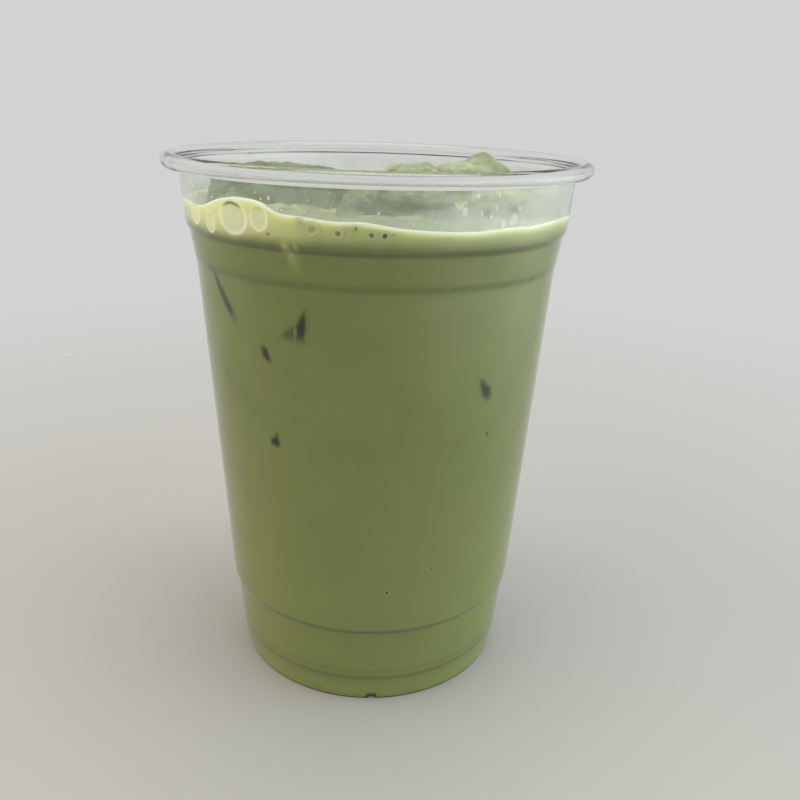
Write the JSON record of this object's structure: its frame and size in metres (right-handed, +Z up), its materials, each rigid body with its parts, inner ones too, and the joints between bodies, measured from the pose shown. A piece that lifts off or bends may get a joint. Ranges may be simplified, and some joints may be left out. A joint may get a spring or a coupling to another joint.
{
  "type": "iced matcha latte in a clear plastic cup",
  "caption": "Iced matcha latte in a clear plastic cup with a rolled rim and moulded rings, with froth and lumps of ice standing above the surface.",
  "frame": {"origin": "middle of the foot, on the surface the cup stands on", "axes": "+Z up along the cup's axis; -Y towards the side shown in front, with the froth's high side at -X -Y"},
  "size_m": [0.098, 0.098, 0.127],
  "materials": {
    "clear_plastic": "thin clear plastic, glossy",
    "drink": "opaque milky green liquid against a clear wall",
    "froth": "pale green froth with bubbles",
    "ice": "ice coated with green froth, wet"
  },
  "bodies": {
    "root": {"cup": "clear_plastic", "drink": "drink", "froth": "froth", "ice_1": "ice", "ice_2": "ice", "ice_3": "ice", "ice_4": "ice", "ice_5": "ice"}
  },
  "joints": []
}
